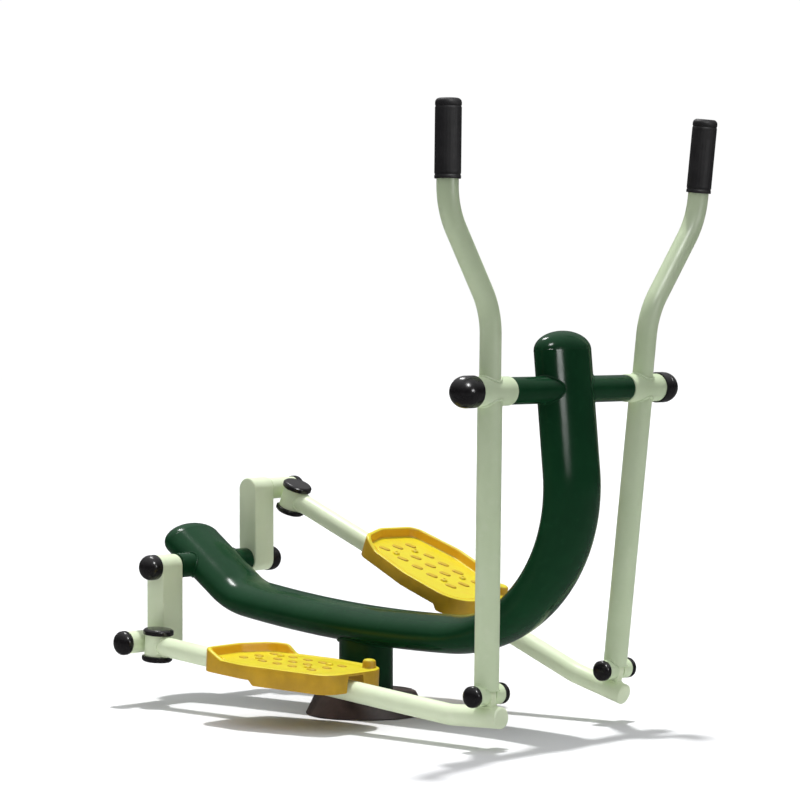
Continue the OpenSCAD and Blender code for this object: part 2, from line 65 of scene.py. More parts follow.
PIV = np.array([BAR_LEN + STUB * cosd(ELBOW) - PIVOT_UP * sind(ELBOW), STUB * sind(ELBOW) + PIVOT_UP * cosd(ELBOW)])
LINK = np.linalg.norm(PIV)
LIFT = math.degrees(math.atan2(PIV[1], PIV[0]))
YAW = math.degrees(math.atan2(ARM_Y - SWIVEL_Y, PIV[0] - SWIVEL_X))
BAR_RUN = (BAR_LEN - SWIVEL_X) / cosd(YAW) - ELBOW_R * math.tan(math.radians(ELBOW / 2))
STUB_RUN = STUB + 34 - ELBOW_R * math.tan(math.radians(ELBOW / 2))


def pin_at(s):
    return REAR + np.array([0, s * CRANK_R])


def pivot_at(s):
    p = pin_at(s)
    d = np.linalg.norm(p - FRONT)
    u = (p - FRONT) / d
    a = (ARM_LEN**2 - LINK**2 + d * d) / (2 * d)
    h = math.sqrt(ARM_LEN**2 - a * a)
    return FRONT + a * u + h * np.array([-u[1], u[0]])


def arm_angle(s):
    p = pivot_at(s)
    return math.degrees(math.atan2(FRONT[0] - p[0], FRONT[1] - p[1]))


def bar_angle(s):
    p, q = pivot_at(s), pin_at(s)
    return math.degrees(math.atan2(q[1] - p[1], p[0] - q[0])) + LIFT


# ---------------------------------------------------------------------------
# 4x4 matrices
# ---------------------------------------------------------------------------
def mv(x, y, z):
    m = np.eye(4)
    m[:3, 3] = (x, y, z)
    return m


def rx(a):
    c, s = cosd(a), sind(a)
    return np.array([[1, 0, 0, 0], [0, c, -s, 0], [0, s, c, 0], [0, 0, 0, 1.0]])


def ry(a):
    c, s = cosd(a), sind(a)
    return np.array([[c, 0, s, 0], [0, 1, 0, 0], [-s, 0, c, 0], [0, 0, 0, 1.0]])


def rz(a):
    c, s = cosd(a), sind(a)
    return np.array([[c, -s, 0, 0], [s, c, 0, 0], [0, 0, 1, 0], [0, 0, 0, 1.0]])


def side(s):
    return np.diag([1.0, s, 1.0, 1.0])


ALONG_Y = rx(-90)  # a shape built along Z, laid along Y


def arm_frame(s):
    return mv(FRONT[0], 0, FRONT[1]) @ ry(arm_angle(s)) @ side(s)


def bar_frame(s):
    p = pin_at(s)
    return mv(p[0], 0, p[1]) @ ry(bar_angle(s)) @ side(s)


def bar_yawed(s):
    return bar_frame(s) @ mv(SWIVEL_X, SWIVEL_Y, 0) @ rz(YAW)


def stub_frame(s):
    return bar_yawed(s) @ mv(BAR_RUN, 0, ELBOW_R) @ ry(-ELBOW) @ mv(0, 0, -ELBOW_R)


def pivot_frame(s):
    return bar_frame(s) @ mv(PIV[0], 0, PIV[1]) @ ry(-ELBOW)


def pedal_frame(s):
    return bar_yawed(s) @ mv(PEDAL_AT - SWIVEL_X, 0, BAR_R + 0.6) @ ry(-PEDAL_TILT)


def crank_frame(s):
    return mv(REAR[0], 0, REAR[1]) @ ry(180 if s < 0 else 0) @ side(s)


# ---------------------------------------------------------------------------
# mesh building
# ---------------------------------------------------------------------------
class Part:
    """Collects closed shells, in millimetres."""

    def __init__(self):
        self.v, self.f, self.n = [], [], 0

    def add(self, shell, m=None):
        v, f = shell
        v = np.asarray(v, float)
        if m is not None:
            v = v @ m[:3, :3].T + m[:3, 3]
        self.v.append(v)
        self.f += [tuple(i + self.n for i in face) for face in f]
        self.n += len(v)
        return self


def build(name, part, body, material, nodes=(), angle=38):
    v = np.concatenate(part.v) * MM
    me = bpy.data.meshes.new(name)
    me.from_pydata(v.tolist(), [], part.f)
    bm = bmesh.new()
    bm.from_mesh(me)
    bmesh.ops.recalc_face_normals(bm, faces=bm.faces)
    bm.to_mesh(me)
    bm.free()
    me.polygons.foreach_set("use_smooth", [True] * len(me.polygons))
    me.set_sharp_from_angle(angle=math.radians(angle))
    me.update()
    o = bpy.data.objects.new(name, me)
    bpy.context.scene.collection.objects.link(o)
    me.materials.append(material)
    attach(o, body)
    if nodes:
        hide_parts(*nodes)
    return o


def skin(rings, loop=False, caps=True, tips=None):
    """Quads between rings of the same length; the ends closed by fans, to the given tips."""
    rings = [np.asarray(r, float) for r in rings]
    count, n = len(rings), len(rings[0])
    v = np.concatenate(rings)
    f = []
    for i in range(count if loop else count - 1):
        j = (i + 1) % count
        for k in range(n):
            m = (k + 1) % n
            f.append((i * n + k, i * n + m, j * n + m, j * n + k))
    if caps and not loop:
        ends = [0, count - 1]
        extra = []
        for e, i in enumerate(ends):
            tip = tips[e] if tips is not None and tips[e] is not None else rings[i].mean(0)
            c = len(v) + len(extra)
            extra.append(tip)
            for k in range(n):
                m = (k + 1) % n
                f.append((i * n + m, i * n + k, c) if e == 0 else (i * n + k, i * n + m, c))
        v = np.concatenate([v, np.array(extra)])
    return v, f


def circle(n, r=1.0):
    a = np.arange(n) * 2 * math.pi / n
    return np.stack([np.cos(a) * r, np.sin(a) * r], 1)


def rounded(points, radii, closed=False, k=5):
    """A polyline in 2-D with its corners rounded."""
    p = np.asarray(points, float)
    n = len(p)
    if np.isscalar(radii):
        radii = [radii] * n
    out = []
    for i in range(n):
        if not closed and i in (0, n - 1) or radii[i] <= 0:
            out.append(p[i])
            continue
        a, b, c = p[i - 1], p[i], p[(i + 1) % n]
        da, dc = a - b, c - b
        la, lc = np.linalg.norm(da), np.linalg.norm(dc)
        da, dc = da / la, dc / lc
        ang = math.acos(max(-1, min(1, float(da @ dc))))
        if ang > math.pi - 0.02:
            out.append(b)
            continue
        t = min(radii[i] / math.tan(ang / 2), 0.48 * la, 0.48 * lc)
        r = t * math.tan(ang / 2)
        o = b + (da + dc) / np.linalg.norm(da + dc) * r / math.sin(ang / 2)
        s, e = b + da * t - o, b + dc * t - o
        a0, a1 = math.atan2(s[1], s[0]), math.atan2(e[1], e[0])
        d = (a1 - a0 + math.pi) % (2 * math.pi) - math.pi
        for j in range(k + 1):
            w = a0 + d * j / k
            out.append(o + r * np.array([math.cos(w), math.sin(w)]))
    return np.array(out)


def lathe(profile, n=72):
    """A profile of (radius, z) turned about Z: from axis to axis."""
    p = np.asarray(profile, float)
    c = circle(n)
    tips = [None, None]
    if p[0][0] < 1e-6:
        tips[0] = (0, 0, p[0][1])
        p = p[1:]
    if p[-1][0] < 1e-6:
        tips[1] = (0, 0, p[-1][1])
        p = p[:-1]
    rings = [np.column_stack([c * r, np.full(n, z)]) for r, z in p]
    return skin(rings, tips=tips)


def ring(profile, n=72, a0=0.0, a1=360.0):
    """A closed profile of (radius, z) turned about Z, all the way or from one angle to another."""
    p = np.asarray(profile, float)
    whole = abs(a1 - a0) >= 359.99
    steps = n if whole else n + 1
    rings = []
    for i in range(steps):
        a = a0 + (a1 - a0) * i / n
        rings.append(np.column_stack([p[:, 0] * cosd(a), p[:, 0] * sind(a), p[:, 1]]))
    return skin(rings, loop=whole)


def collar(ro, ri, z0, z1, f=1.6, n=72):
    """A hollow sleeve with rounded rims."""
    f = min(f, (ro - ri) * 0.45)
    return ring(rounded([(ro, z0), (ro, z1), (ri, z1), (ri, z0)], [f, f, f * 0.5, f * 0.5], closed=True), n)


def rod(r, z0, z1, f=1.0, n=64):
    return lathe(rounded([(0, z0), (r, z0), (r, z1), (0, z1)], f), n)


def cap_dome(r, skirt, h, n=72, base=1.2, flat=0.0):
    """A hollow moulded cap: a short skirt with a rounded foot, a shallow groove, then a dome."""
    p = [(r - 4.5, 0.6), (r - 3.5, 0), (r - base, 0), (r - 0.3, 0.4), (r, base)]
    p += [(r, skirt - 2.2), (r - 0.55, skirt - 1.6), (r - 0.55, skirt - 0.9), (r, skirt - 0.3)]
    steps = 18
    for i in range(1, steps + 1):
        a = 90 * i / steps
        p.append((r * cosd(a) ** (1 - flat), skirt + (h - skirt) * sind(a)))
    p[-1] = (0, h)
    p = [(0, 3.0), (r - 4.5, 3.0)] + p
    return lathe(p, n)


def slab(points, normals, z0, z1, f, k=4):
    """An outline extruded along Z with rounded edges."""
    rings = []
    for i in range(k + 1):
        a = 90 * i / k
        o, z = f * (1 - sind(a)), z0 + f * (1 - cosd(a))
        rings.append(np.column_stack([points - normals * o, np.full(len(points), z)]))
    for i in range(k, -1, -1):
        a = 90 * i / k
        o, z = f * (1 - sind(a)), z1 - f * (1 - cosd(a))
        rings.append(np.column_stack([points - normals * o, np.full(len(points), z)]))
    return skin(rings)


def hull_outline(circles, n=240):
    """Outline round circles (x, y, r), evenly spaced, with outward normals."""
    c = np.asarray(circles, float)
    ang = np.radians(np.arange(0, 360, 0.5))
    nx = np.stack([np.cos(ang), np.sin(ang)], 1)
    reach = c[:, :2] @ nx.T + c[:, 2:3]
    pick = reach.argmax(0)
    pts = c[pick, :2] + c[pick, 2:3] * nx
    pts = np.concatenate([pts, pts[:1]])
    nrm = np.concatenate([nx, nx[:1]])
    step = np.linalg.norm(np.diff(pts, axis=0), axis=1)
    s = np.concatenate([[0], np.cumsum(step)])
    t = np.arange(n) * s[-1] / n
    p = np.stack([np.interp(t, s, pts[:, i]) for i in (0, 1)], 1)
    q = np.stack([np.interp(t, s, nrm[:, i]) for i in (0, 1)], 1)
    return p, q / np.linalg.norm(q, axis=1)[:, None]


def box_outline(x0, x1, y0, y1, r, n=48):
    return hull_outline([(x, y, r) for x in (x0 + r, x1 - r) for y in (y0 + r, y1 - r)], n)


def bead(path, r=3.0, closed=True, pitch=5.0, sides=8, seed=0.0):
    """A weld bead: a small round section along a path, with the ripples of a weld."""
    p = np.asarray(path, float)
    n = len(p)
    seg = np.roll(p, -1, 0) - p
    length = np.linalg.norm(seg, axis=1)
    s = np.concatenate([[0], np.cumsum(length)[:-1]])
    total = length.sum() if closed else length[:-1].sum()
    ripples = max(3, round(total / pitch))
    if closed:
        t = np.roll(p, -1, 0) - np.roll(p, 1, 0)
    else:
        t = np.gradient(p, axis=0)
    t /= np.linalg.norm(t, axis=1)[:, None]
    rings = []
    centre = p.mean(0)
    for i in range(n):
        u = p[i] - centre
        u = u - t[i] * (u @ t[i])
        if np.linalg.norm(u) < 1e-6:
            u = np.array([0, 0, 1.0]) - t[i] * t[i][2]
        u /= np.linalg.norm(u)
        w = np.cross(t[i], u)
        phase = s[i] / total * ripples * 2 * math.pi + seed
        rr = r * (1 + 0.10 * math.sin(phase) + 0.05 * math.sin(phase * 0.37 + 1.3))
        rings.append([p[i] + rr * (math.cos(a) * u + math.sin(a) * w) for a in np.arange(sides) * 2 * math.pi / sides])
    return skin(rings, loop=closed)


def on_curve(fn, n=150):
    return np.array([fn(a) for a in np.arange(n) * 2 * math.pi / n])


def sweep(path, frames, section, caps=True):
    rings = []
    for p, (a, b) in zip(path, frames):
        rings.append(p + section[:, :1] * a + section[:, 1:2] * b)
    return skin(rings, caps=caps)


def planar(start, heading, legs):
    """Points and headings along lines ("line", length, steps) and bends ("bend", radius, turn, steps); a bend turns clockwise."""
    p, h = np.array(start, float), heading
    pts, hs = [p.copy()], [h]
    for leg in legs:
        if leg[0] == "line":
            _, length, steps = leg
            d = np.array([cosd(h), sind(h)])
            for i in range(1, steps + 1):
                pts.append(p + d * length * i / steps)
                hs.append(h)
            p = p + d * length
        else:
            _, r, turn, steps = leg
            k = 1 if turn > 0 else -1
            c = p + r * k * np.array([cosd(h - 90), sind(h - 90)])
            for i in range(1, steps + 1):
                g = h - turn * i / steps
                pts.append(c - r * k * np.array([cosd(g - 90), sind(g - 90)]))
                hs.append(g)
            p, h = pts[-1], h - turn
    return np.array(pts), np.array(hs)


# ---------------------------------------------------------------------------
# materials
# ---------------------------------------------------------------------------
class Graph:
    def __init__(self, name):
        self.m = bpy.data.materials.new(name)
        self.m.use_nodes = True
        self.t = self.m.node_tree
        self.t.nodes.clear()
        self.out = self.t.nodes.new("ShaderNodeOutputMaterial")
        self.bsdf = self.t.nodes.new("ShaderNodeBsdfPrincipled")
        self.t.links.new(self.bsdf.outputs[0], self.out.inputs[0])
        self.tc = self.t.nodes.new("ShaderNodeTexCoord")

    def link(self, a, b):
        self.t.links.new(a, b)

    def noise(self, scale, detail=3.0, rough=0.5, stretch=None, distort=0.0):
        n = self.t.nodes.new("ShaderNodeTexNoise")
        n.inputs["Scale"].default_value = scale
        n.inputs["Detail"].default_value = detail
        n.inputs["Roughness"].default_value = rough
        n.inputs["Distortion"].default_value = distort
        src = self.tc.outputs["Object"]
        if stretch:
            mp = self.t.nodes.new("ShaderNodeMapping")
            mp.inputs["Scale"].default_value = stretch
            self.link(src, mp.inputs[0])
            src = mp.outputs[0]
        self.link(src, n.inputs["Vector"])
        return n.outputs["Fac"]

    def cells(self, scale, feature="F1", randomness=1.0):
        n = self.t.nodes.new("ShaderNodeTexVoronoi")
        n.feature = feature
        n.inputs["Scale"].default_value = scale
        n.inputs["Randomness"].default_value = randomness
        self.link(self.tc.outputs["Object"], n.inputs["Vector"])
        return n.outputs["Distance"]

    def remap(self, src, a, b, c=0.0, d=1.0):
        n = self.t.nodes.new("ShaderNodeMapRange")
        for i, x in enumerate((a, b, c, d), 1):
            n.inputs[i].default_value = x
        n.interpolation_type = "SMOOTHSTEP"
        self.link(src, n.inputs[0])
        return n.outputs[0]

    def linear(self, src, a, b, c=0.0, d=1.0):
        n = self.t.nodes.new("ShaderNodeMapRange")
        for i, x in enumerate((a, b, c, d), 1):
            n.inputs[i].default_value = x
        self.link(src, n.inputs[0])
        return n.outputs[0]

    def mul(self, a, b):
        n = self.t.nodes.new("ShaderNodeMath")
        n.operation = "MULTIPLY"
        self.link(a, n.inputs[0])
        if isinstance(b, float):
            n.inputs[1].default_value = b
        else:
            self.link(b, n.inputs[1])
        return n.outputs[0]

    def mix(self, fac, a, b):
        n = self.t.nodes.new("ShaderNodeMix")
        n.data_type = "RGBA"
        self.link(fac, n.inputs[0])
        for x, sock in ((a, n.inputs[6]), (b, n.inputs[7])):
            if isinstance(x, tuple):
                sock.default_value = (*x, 1)
            else:
                self.link(x, sock)
        return n.outputs[2]

    def normal_z(self):
        g = self.t.nodes.new("ShaderNodeNewGeometry")
        s = self.t.nodes.new("ShaderNodeSeparateXYZ")
        self.link(g.outputs["Normal"], s.inputs[0])
        return s.outputs[2]

    def object_z(self):
        s = self.t.nodes.new("ShaderNodeSeparateXYZ")
        self.link(self.tc.outputs["Object"], s.inputs[0])
        return s.outputs[2]

    def bump(self, height, distance, strength=1.0, under=None):
        b = self.t.nodes.new("ShaderNodeBump")
        b.inputs["Strength"].default_value = strength
        b.inputs["Distance"].default_value = distance
        self.link(height, b.inputs["Height"])
        if under is not None:
            self.link(under, b.inputs["Normal"])
        return b.outputs[0]

    def finish(self, colour, rough, normal, **const):
        self.link(colour, self.bsdf.inputs["Base Color"])
        if isinstance(rough, float):
            self.bsdf.inputs["Roughness"].default_value = rough
        else:
            self.link(rough, self.bsdf.inputs["Roughness"])
        if normal is not None:
            self.link(normal, self.bsdf.inputs["Normal"])
        for k, x in const.items():
            self.bsdf.inputs[k.replace("_", " ")].default_value = x
        return self.m


def powder_paint(name, base, deep, pale, rough, spec, peel, coat=0.0, dust=(0.45, 0.44, 0.38), dusty=0.05):
    """Thick powder coat: cloudy tone, orange peel, and a little dust on what faces up."""
    g = Graph(name)
    tone = g.mix(g.remap(g.noise(7.0, 4.0, 0.55), 0.35, 0.68), deep, base)
    tone = g.mix(g.mul(g.remap(g.noise(55.0, 3.0), 0.55, 0.75), 0.35), tone, pale)
    film = g.mul(g.remap(g.normal_z(), 0.35, 0.95), g.remap(g.noise(22.0, 5.0, 0.65), 0.42, 0.72, 0.0, dusty))
    tone = g.mix(film, tone, dust)
    r = g.linear(g.noise(16.0, 4.0, 0.6), 0.3, 0.7, rough * 0.82, rough * 1.25)
    n = g.bump(g.noise(420.0, 2.0, 0.45), peel)
    n = g.bump(g.noise(70.0, 2.0, 0.5), peel * 2.2, under=n)
    return g.finish(tone, r, n, Specular_IOR_Level=spec, Coat_Weight=coat, Coat_Roughness=0.10)


def moulded(name, base, deep, rough, spec, grain=0.00010, scale=900.0, scuff=(0.16, 0.155, 0.15), worn=0.12):
    """Moulded plastic or rubber: fine grain and rubbed places."""
    g = Graph(name)
    tone = g.mix(g.remap(g.noise(30.0, 4.0, 0.6), 0.35, 0.7), deep, base)
    rub = g.mul(g.remap(g.noise(60.0, 6.0, 0.7, stretch=(1, 1, 3.5)), 0.60, 0.74), worn)
    tone = g.mix(rub, tone, scuff)
    r = g.linear(g.noise(45.0, 4.0, 0.65), 0.3, 0.7, rough * 0.8, rough * 1.3)
    n = g.bump(g.noise(scale, 3.0, 0.6), grain)
    n = g.bump(g.cells(scale * 0.45), grain * 0.7, under=n)
    return g.finish(tone, r, n, Specular_IOR_Level=spec)


def pedal_plastic(name, top, painted_shade_tone, deep, rough, spec):
    """Yellow moulded plastic with a leathery grain; painted shade makes it browner where it stands on edge, and a
    painted highlight makes the inner face of the rim lip a brighter orange.
    """
    g = Graph(name)
    # painted shade: faces that stand on edge take the darker, browner tone; only faces that look up keep the yellow
    up = g.remap(g.normal_z(), 0.25, 0.88)
    cloud = g.remap(g.noise(14.0, 4.0, 0.6), 0.3, 0.72)
    painted_wall_shade_and_light = g.mix(cloud, deep, painted_shade_tone)
    # painted highlight: where the mesh marks the inner face of the rim lip, the colour is a brighter orange
    lip = g.t.nodes.new("ShaderNodeAttribute")
    lip.attribute_name = "lip"
    painted_wall_shade_and_light = g.mix(lip.outputs["Fac"], painted_wall_shade_and_light, (0.92, 0.50, 0.022))
    face = g.mix(g.mul(g.remap(g.noise(26.0, 5.0, 0.62), 0.46, 0.74), 0.32), top, painted_shade_tone)
    tone = g.mix(up, painted_wall_shade_and_light, face)
    tread = g.mul(g.remap(g.noise(90.0, 6.0, 0.7), 0.56, 0.78), 0.22)
    tone = g.mix(tread, tone, (0.50, 0.36, 0.03))
    r = g.linear(g.noise(35.0, 4.0, 0.6), 0.3, 0.7, rough * 0.8, rough * 1.25)
    n = g.bump(g.cells(520.0), 0.00016)
    n = g.bump(g.noise(160.0, 3.0, 0.5), 0.00012, under=n)
    return g.finish(tone, r, n, Specular_IOR_Level=spec)


def metal(name, base, deep, rough, stretch=(1, 1, 1), grain=0.00005):
    g = Graph(name)
    tone = g.mix(g.remap(g.noise(40.0, 4.0, 0.6), 0.3, 0.7), deep, base)
    r = g.linear(g.noise(120.0, 4.0, 0.6, stretch=stretch), 0.3, 0.7, rough * 0.75, rough * 1.35)
    n = g.bump(g.noise(700.0, 3.0, 0.6, stretch=stretch), grain)
    return g.finish(tone, r, n, Metallic=1.0)


GREEN = powder_paint("gloss_green", (0.0080, 0.0500, 0.0190), (0.0062, 0.0420, 0.0158), (0.0105, 0.0590, 0.0240), 0.17, 0.11, 0.00004, dust=(0.12, 0.17, 0.11), dusty=0.04)
CREAM = powder_paint("satin_cream", (0.680, 0.790, 0.540), (0.640, 0.760, 0.500), (0.722, 0.815, 0.590), 0.34, 0.30, 0.00006, dust=(0.66, 0.66, 0.55), dusty=0.07)
# the same cream paint as the arms, painted lighter: painted light on the cranks, knuckles and pedal bars, which stand
# brighter lit
CREAM_PAINTED_LIGHTER = powder_paint("cream_painted_lighter", (0.800, 0.890, 0.640), (0.760, 0.860, 0.600), (0.835, 0.910, 0.690), 0.34, 0.30, 0.00006, dust=(0.72, 0.72, 0.60), dusty=0.06)
BLACK = moulded("black_moulding", (0.0125, 0.0108, 0.0120), (0.0090, 0.0078, 0.0088), 0.22, 0.36, grain=0.00003, scuff=(0.08, 0.075, 0.075), worn=0.05)
RUBBER = moulded("black_grip", (0.0220, 0.0208, 0.0228), (0.0165, 0.0155, 0.0172), 0.55, 0.22, grain=0.00014, scale=620.0, scuff=(0.08, 0.078, 0.078), worn=0.05)
BROWN = moulded("brown_moulding", (0.078, 0.052, 0.048), (0.056, 0.037, 0.034), 0.46, 0.30, grain=0.00012, scale=520.0, scuff=(0.18, 0.15, 0.13), worn=0.20)
# painted shade on both: faces that stand on edge take a browner tone than the tops
YELLOW = pedal_plastic("yellow_moulding", (0.715, 0.610, 0.018), (0.70, 0.41, 0.024), (0.54, 0.31, 0.020), 0.36, 0.30)
STUD = pedal_plastic("yellow_stud", (0.60, 0.42, 0.014), (0.50, 0.28, 0.014), (0.40, 0.20, 0.012), 0.42, 0.26)
STEEL = metal("zinc_steel", (0.60, 0.61, 0.62), (0.46, 0.47, 0.49), 0.34)
PASSIVATED = powder_paint("yellow_coated", (0.80, 0.62, 0.022), (0.70, 0.52, 0.020), (0.86, 0.70, 0.05), 0.34, 0.30, 0.00003, dusty=0.08)
BRONZE = metal("bronze_bush", (0.52, 0.36, 0.16), (0.40, 0.27, 0.11), 0.36)
BY_SLOT = {
    "green_paint": GREEN, "cream_paint": CREAM, "black_plastic": BLACK, "black_rubber": RUBBER,
    "brown_plastic": BROWN, "yellow_plastic": YELLOW, "steel": STEEL, "bronze": BRONZE,
}
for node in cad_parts.values():
    for slot in node.material_slots:
        slot.material = BY_SLOT.get(slot.material.name.split(".")[0], STEEL)
# the carriage bolts of the pedals are coated in the pedals' yellow
for nm in ("right", "left"):
    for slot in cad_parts[nm + "_pedal_bolts"].material_slots:
        slot.material = PASSIVATED

# ---------------------------------------------------------------------------
# main member: one bent oval tube with welded domed ends
# ---------------------------------------------------------------------------
DIR0 = -84.5
TOP = (FRONT[0] - 14, 770.0)
LEGS = [("line", 243.0, 12), ("bend", 314.0, 94.3, 90), ("bend", 3465.0, 9.5, 40), ("bend", 160.0, 26.0, 30), ("line", 166.0, 10)]
run, head = planar(TOP, DIR0, LEGS)


def oval(n=128, inset=0.0):
    a = np.arange(n) * 2 * math.pi / n
    return np.stack([(OVAL_T / 2 - inset) * np.cos(a), (OVAL_W / 2 - inset) * np.sin(a)], 1)


def xz(p):
    return np.array([p[0], 0.0, p[1]])


across = np.array([0, 1.0, 0])
frames = [(np.array([cosd(h + 90), 0, sind(h + 90)]), across) for h in head]
tube = Part().add(sweep([xz(p) for p in run], frames, oval()))
build("main_tube", tube, "frame", GREEN, ["main_frame"])


def dome(at, heading, height=39.0, n=128):
    a, d = np.array([cosd(heading + 90), 0, sind(heading + 90)]), np.array([cosd(heading), 0, sind(heading)])
    sec = oval(n)
    rings = []
    for i in range(0, 22):
        t = 90.0 * i / 22
        c = xz(at) + d * height * sind(t)
        rings.append(c + (sec[:, :1] * a + sec[:, 1:2] * across) * cosd(t))
    return skin(rings, tips=[None, xz(at) + d * height])


def seam(at, heading, inset=0.75, r=1.0):
    a = np.array([cosd(heading + 90), 0, sind(heading + 90)])
    sec = oval(220, inset)
    return bead(xz(at) + sec[:, :1] * a + sec[:, 1:2] * across, r=r, pitch=4.0)


for name, at, heading, node in (("column_dome", run[0], DIR0 + 180, "column_cap"), ("rear_dome", run[-1], head[-1], "rear_cap")):
    build(name, Part().add(dome(at, heading)), "frame", GREEN, [node])
    build(name + "_weld", Part().add(seam(at, heading)), "frame", GREEN)

# ---------------------------------------------------------------------------
# ground post with its coped top, flange welds and cover
# ---------------------------------------------------------------------------
POST_R = 57.15
low = np.argmin(np.abs(run[:, 0]) + 1e3 * (run[:, 1] > 400))
mid = run[low]
slope = math.tan(math.radians(head[low] - 180))


def under(x, y, inset=0.0):
    """Height of the main tube's underside over the post."""
    zc = mid[1] + (x - mid[0]) * slope
    return zc - (OVAL_T / 2 - inset) * math.sqrt(max(0.0, 1 - (y / (OVAL_W / 2)) ** 2)) / math.cos(math.atan(slope))


c = circle(96)
post_rings = [np.column_stack([c * POST_R, np.full(96, z)]) for z in (12.0, 60.0, 110.0)]
post_rings.append(np.array([[x * POST_R, y * POST_R, under(x * POST_R, y * POST_R, 5.0)] for x, y in c]))
build("post_tube", Part().add(skin(post_rings)), "frame", GREEN, ["ground_post"])
weld = Part().add(bead(on_curve(lambda a: (58.2 * math.cos(a), 58.2 * math.sin(a), under(58.2 * math.cos(a), 58.2 * math.sin(a)) - 0.6), 220), r=3.6))
weld.add(bead(on_curve(lambda a: (58.0 * math.cos(a), 58.0 * math.sin(a), 12.8), 180), r=3.4))
build("post_welds", weld, "frame", GREEN)

cover_profile = rounded([(128, 0.6), (105.2, 47), (57.9, 47), (57.9, 43.8), (101.5, 43.8), (124.2, 0.6)], [1.2, 6.0, 1.0, 0.8, 3.0, 0.8], closed=True)
for s, nm in ((-1, "right"), (1, "left")):
    part = Part().add(ring(cover_profile, 84, 0.12, 179.88), side(s) @ mv(0, 0.1, 0))
    # a clip boss at each end of the half, beside the split
    for x in (-116.2, 116.2):
        part.add(slab(*box_outline(-4.5, 4.5, 1.4, 15.0, 2.0, 32), 0, 5.0, 1.2), side(s) @ mv(x + (1.9 if x < 0 else -1.9), 0, 20) @ ry(26.1 if x > 0 else -26.1))
    build(nm + "_base_cover", part, "frame", BROWN, ["base_cover_" + nm])

# ---------------------------------------------------------------------------
# cross tubes
# ---------------------------------------------------------------------------
def cross_tube(name, at, half, r, centre, heading, node):
    prof = rounded([(0, -half), (r, -half), (r, half), (0, half)], 1.4)
    part = Part().add(lathe(prof, 80), mv(at[0], 0, at[1]) @ ALONG_Y)
    build(name, part, "frame", GREEN, [node])
    n = np.array([cosd(heading + 90), sind(heading + 90)])
    w = Part()
    for s in (-1, 1):
        def at_angle(a, rr=r + 0.3):
            d = np.array([at[0] + rr * math.cos(a), at[1] + rr * math.sin(a)])
            u = (d - centre) @ n
            return (d[0], s * (OVAL_W / 2 * math.sqrt(max(0.0, 1 - (u / (OVAL_T / 2)) ** 2)) + 0.4), d[1])
        w.add(bead(on_curve(at_angle, 170), r=2.6, seed=s * 1.1))
    build(name + "_welds", w, "frame", GREEN)


cross_tube("front_cross_tube", FRONT, 185.0, 27.0, np.array(TOP), DIR0, "front_axle_tube")
cross_tube("rear_cross_tube", REAR, 108.0, 27.0, run[-1], head[-1], "rear_axle_tube")

# ---------------------------------------------------------------------------
# cranks
# ---------------------------------------------------------------------------
obround = hull_outline([(0, 0, CRANK_W / 2), (0, CRANK_R, CRANK_W / 2)], 160)
for s, nm in ((-1, "right"), (1, "left")):
    m = crank_frame(s)
    part = Part().add(slab(*obround, -172, -112, 3.2), m @ rx(90))
    # machined bosses round the axle and the pin, on the inner and outer faces
    part.add(collar(21.5, 15.3, 109.6, 113.0, 0.8), m @ ALONG_Y)
    part.add(collar(19.5, 12.2, 170.5, 173.2, 0.8), m @ mv(0, 0, CRANK_R) @ ALONG_Y)
    build(nm + "_crank_link", part, "crankset", CREAM_PAINTED_LIGHTER, [nm + "_crank"])
    build(nm + "_crank_dome", Part().add(cap_dome(27.5, 13, 36), m @ mv(0, 172.2, 0) @ ALONG_Y), "crankset", BLACK, [nm + "_crank_cap"])


# ---------------------------------------------------------------------------
# universal joints: sleeve on the crank pin, neck, upright swivel
# ---------------------------------------------------------------------------
def clear_knuckle(v):
    """Moves points of the swivel out of the room that the crank-pin sleeve turns in (bar frame)."""
    v = v.copy()
    for i, (x, y, z) in enumerate(v):
        lim = -1e9
        for zc in (-11.8, 7.8):
            if abs(z - zc) < 29.4:
                lim = max(lim, math.sqrt(29.4**2 - (z - zc) ** 2))
        if -11.8 < z < 7.8:
            lim = 29.4
        if x < lim:
            v[i, 0] = lim
    return v


def slotted(profile, half, n=96):
    """A closed profile of (radius, z) turned about Z, with a slot of the given half width towards -X."""
    rings = []
    for i in range(n + 1):
        pts = []
        for r, z in profile:
            g = math.degrees(math.asin(half / r))
            a = -180 + g + (360 - 2 * g) * i / n
            pts.append((r * cosd(a), r * sind(a), z))
        rings.append(pts)
    return skin(rings)


def cleared(shell, m):
    v, f = shell
    v = np.asarray(v, float) @ m[:3, :3].T + m[:3, 3]
    return clear_knuckle(v), f


for s, nm in ((-1, "right"), (1, "left")):
    m = bar_frame(s)
    part = Part().add(collar(KNUCKLE_R, 15.6, 174, 258, 2.2), m @ ALONG_Y)
    part.add(slab(*box_outline(16, 46, -7, 7, 2.0, 40), -8, 8, 1.6), m @ mv(0, SWIVEL_Y, 0))
    part.add(rod(9, -12, 12, 1.0), m @ mv(SWIVEL_X, SWIVEL_Y, 0))
    # weld round the neck, where it meets the sleeve
    neck = box_outline(-7.3, 7.3, -8.2, 8.2, 2.0, 60)[0]
    path = [(math.sqrt(max(0, (KNUCKLE_R - 0.2) ** 2 - z * z)), SWIVEL_Y + y, z) for y, z in neck]
    part.add(bead(path, r=1.2, pitch=2.6), m)
    build(nm + "_knuckle", part, nm + "_joint", CREAM_PAINTED_LIGHTER, [nm + "_ujoint"])
    build(nm + "_knuckle_dome", Part().add(cap_dome(26, 8, 24), m @ mv(0, 258.2, 0) @ ALONG_Y), nm + "_joint", BLACK, [nm + "_ujoint_cap"])

